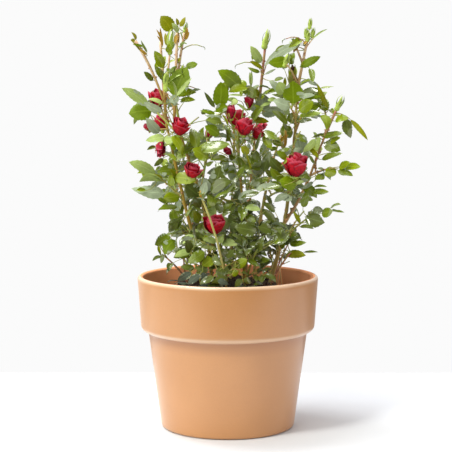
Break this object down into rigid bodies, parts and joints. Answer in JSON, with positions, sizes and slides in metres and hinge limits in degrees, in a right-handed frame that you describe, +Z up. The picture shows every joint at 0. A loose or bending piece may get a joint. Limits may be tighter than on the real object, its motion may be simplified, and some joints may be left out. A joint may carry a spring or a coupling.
{
  "type": "potted rose bush",
  "caption": "Small rose bush with slender leaning canes, compound leaves, red blooms and pointed buds, standing in a tapered terracotta pot with a deep plain collar.",
  "frame": {"origin": "centre of the pot's flat underside", "axes": "+Z up the pot's axis, -Y towards the side that the picture shows, +X to the right of the picture"},
  "size_m": [0.3384, 0.269, 0.5416],
  "materials": {
    "terracotta": "unglazed, matt",
    "compost": "moist, crumbly",
    "bark": "smooth young bark",
    "foliage": "semi-gloss leaf"
  },
  "bodies": {
    "root": {"pot": "terracotta", "root_ball": "compost", "cane_back_centre": "bark", "cane_back_left": "bark", "cane_back_right": "bark", "cane_centre": "bark", "cane_left": "bark", "cane_left_inner": "bark", "cane_outer": "bark", "cane_right": "bark", "cane_slim": "bark", "back_centre_side": "foliage", "back_centre_tips": "foliage", "back_left_side": "foliage", "back_left_tips": "foliage", "back_right_side": "foliage", "back_right_tips": "foliage", "centre_cluster": "foliage", "centre_left": "foliage", "centre_low": "foliage", "centre_middle": "foliage", "left_blooms": "foliage", "left_front_blooms": "foliage", "left_inner_tips": "foliage", "left_low": "foliage", "left_side": "foliage", "left_tips": "foliage", "low_back": "foliage", "low_back_left": "foliage", "low_back_right": "foliage", "low_front": "foliage", "low_front_left": "foliage", "low_front_right": "foliage", "low_left": "foliage", "low_right": "foliage", "outer_low": "foliage", "outer_side": "foliage", "outer_tips": "foliage", "right_bloom": "foliage", "right_inner": "foliage", "right_tips": "foliage", "right_upper": "foliage", "slim_side": "foliage", "slim_tips": "foliage"}
  },
  "joints": []
}
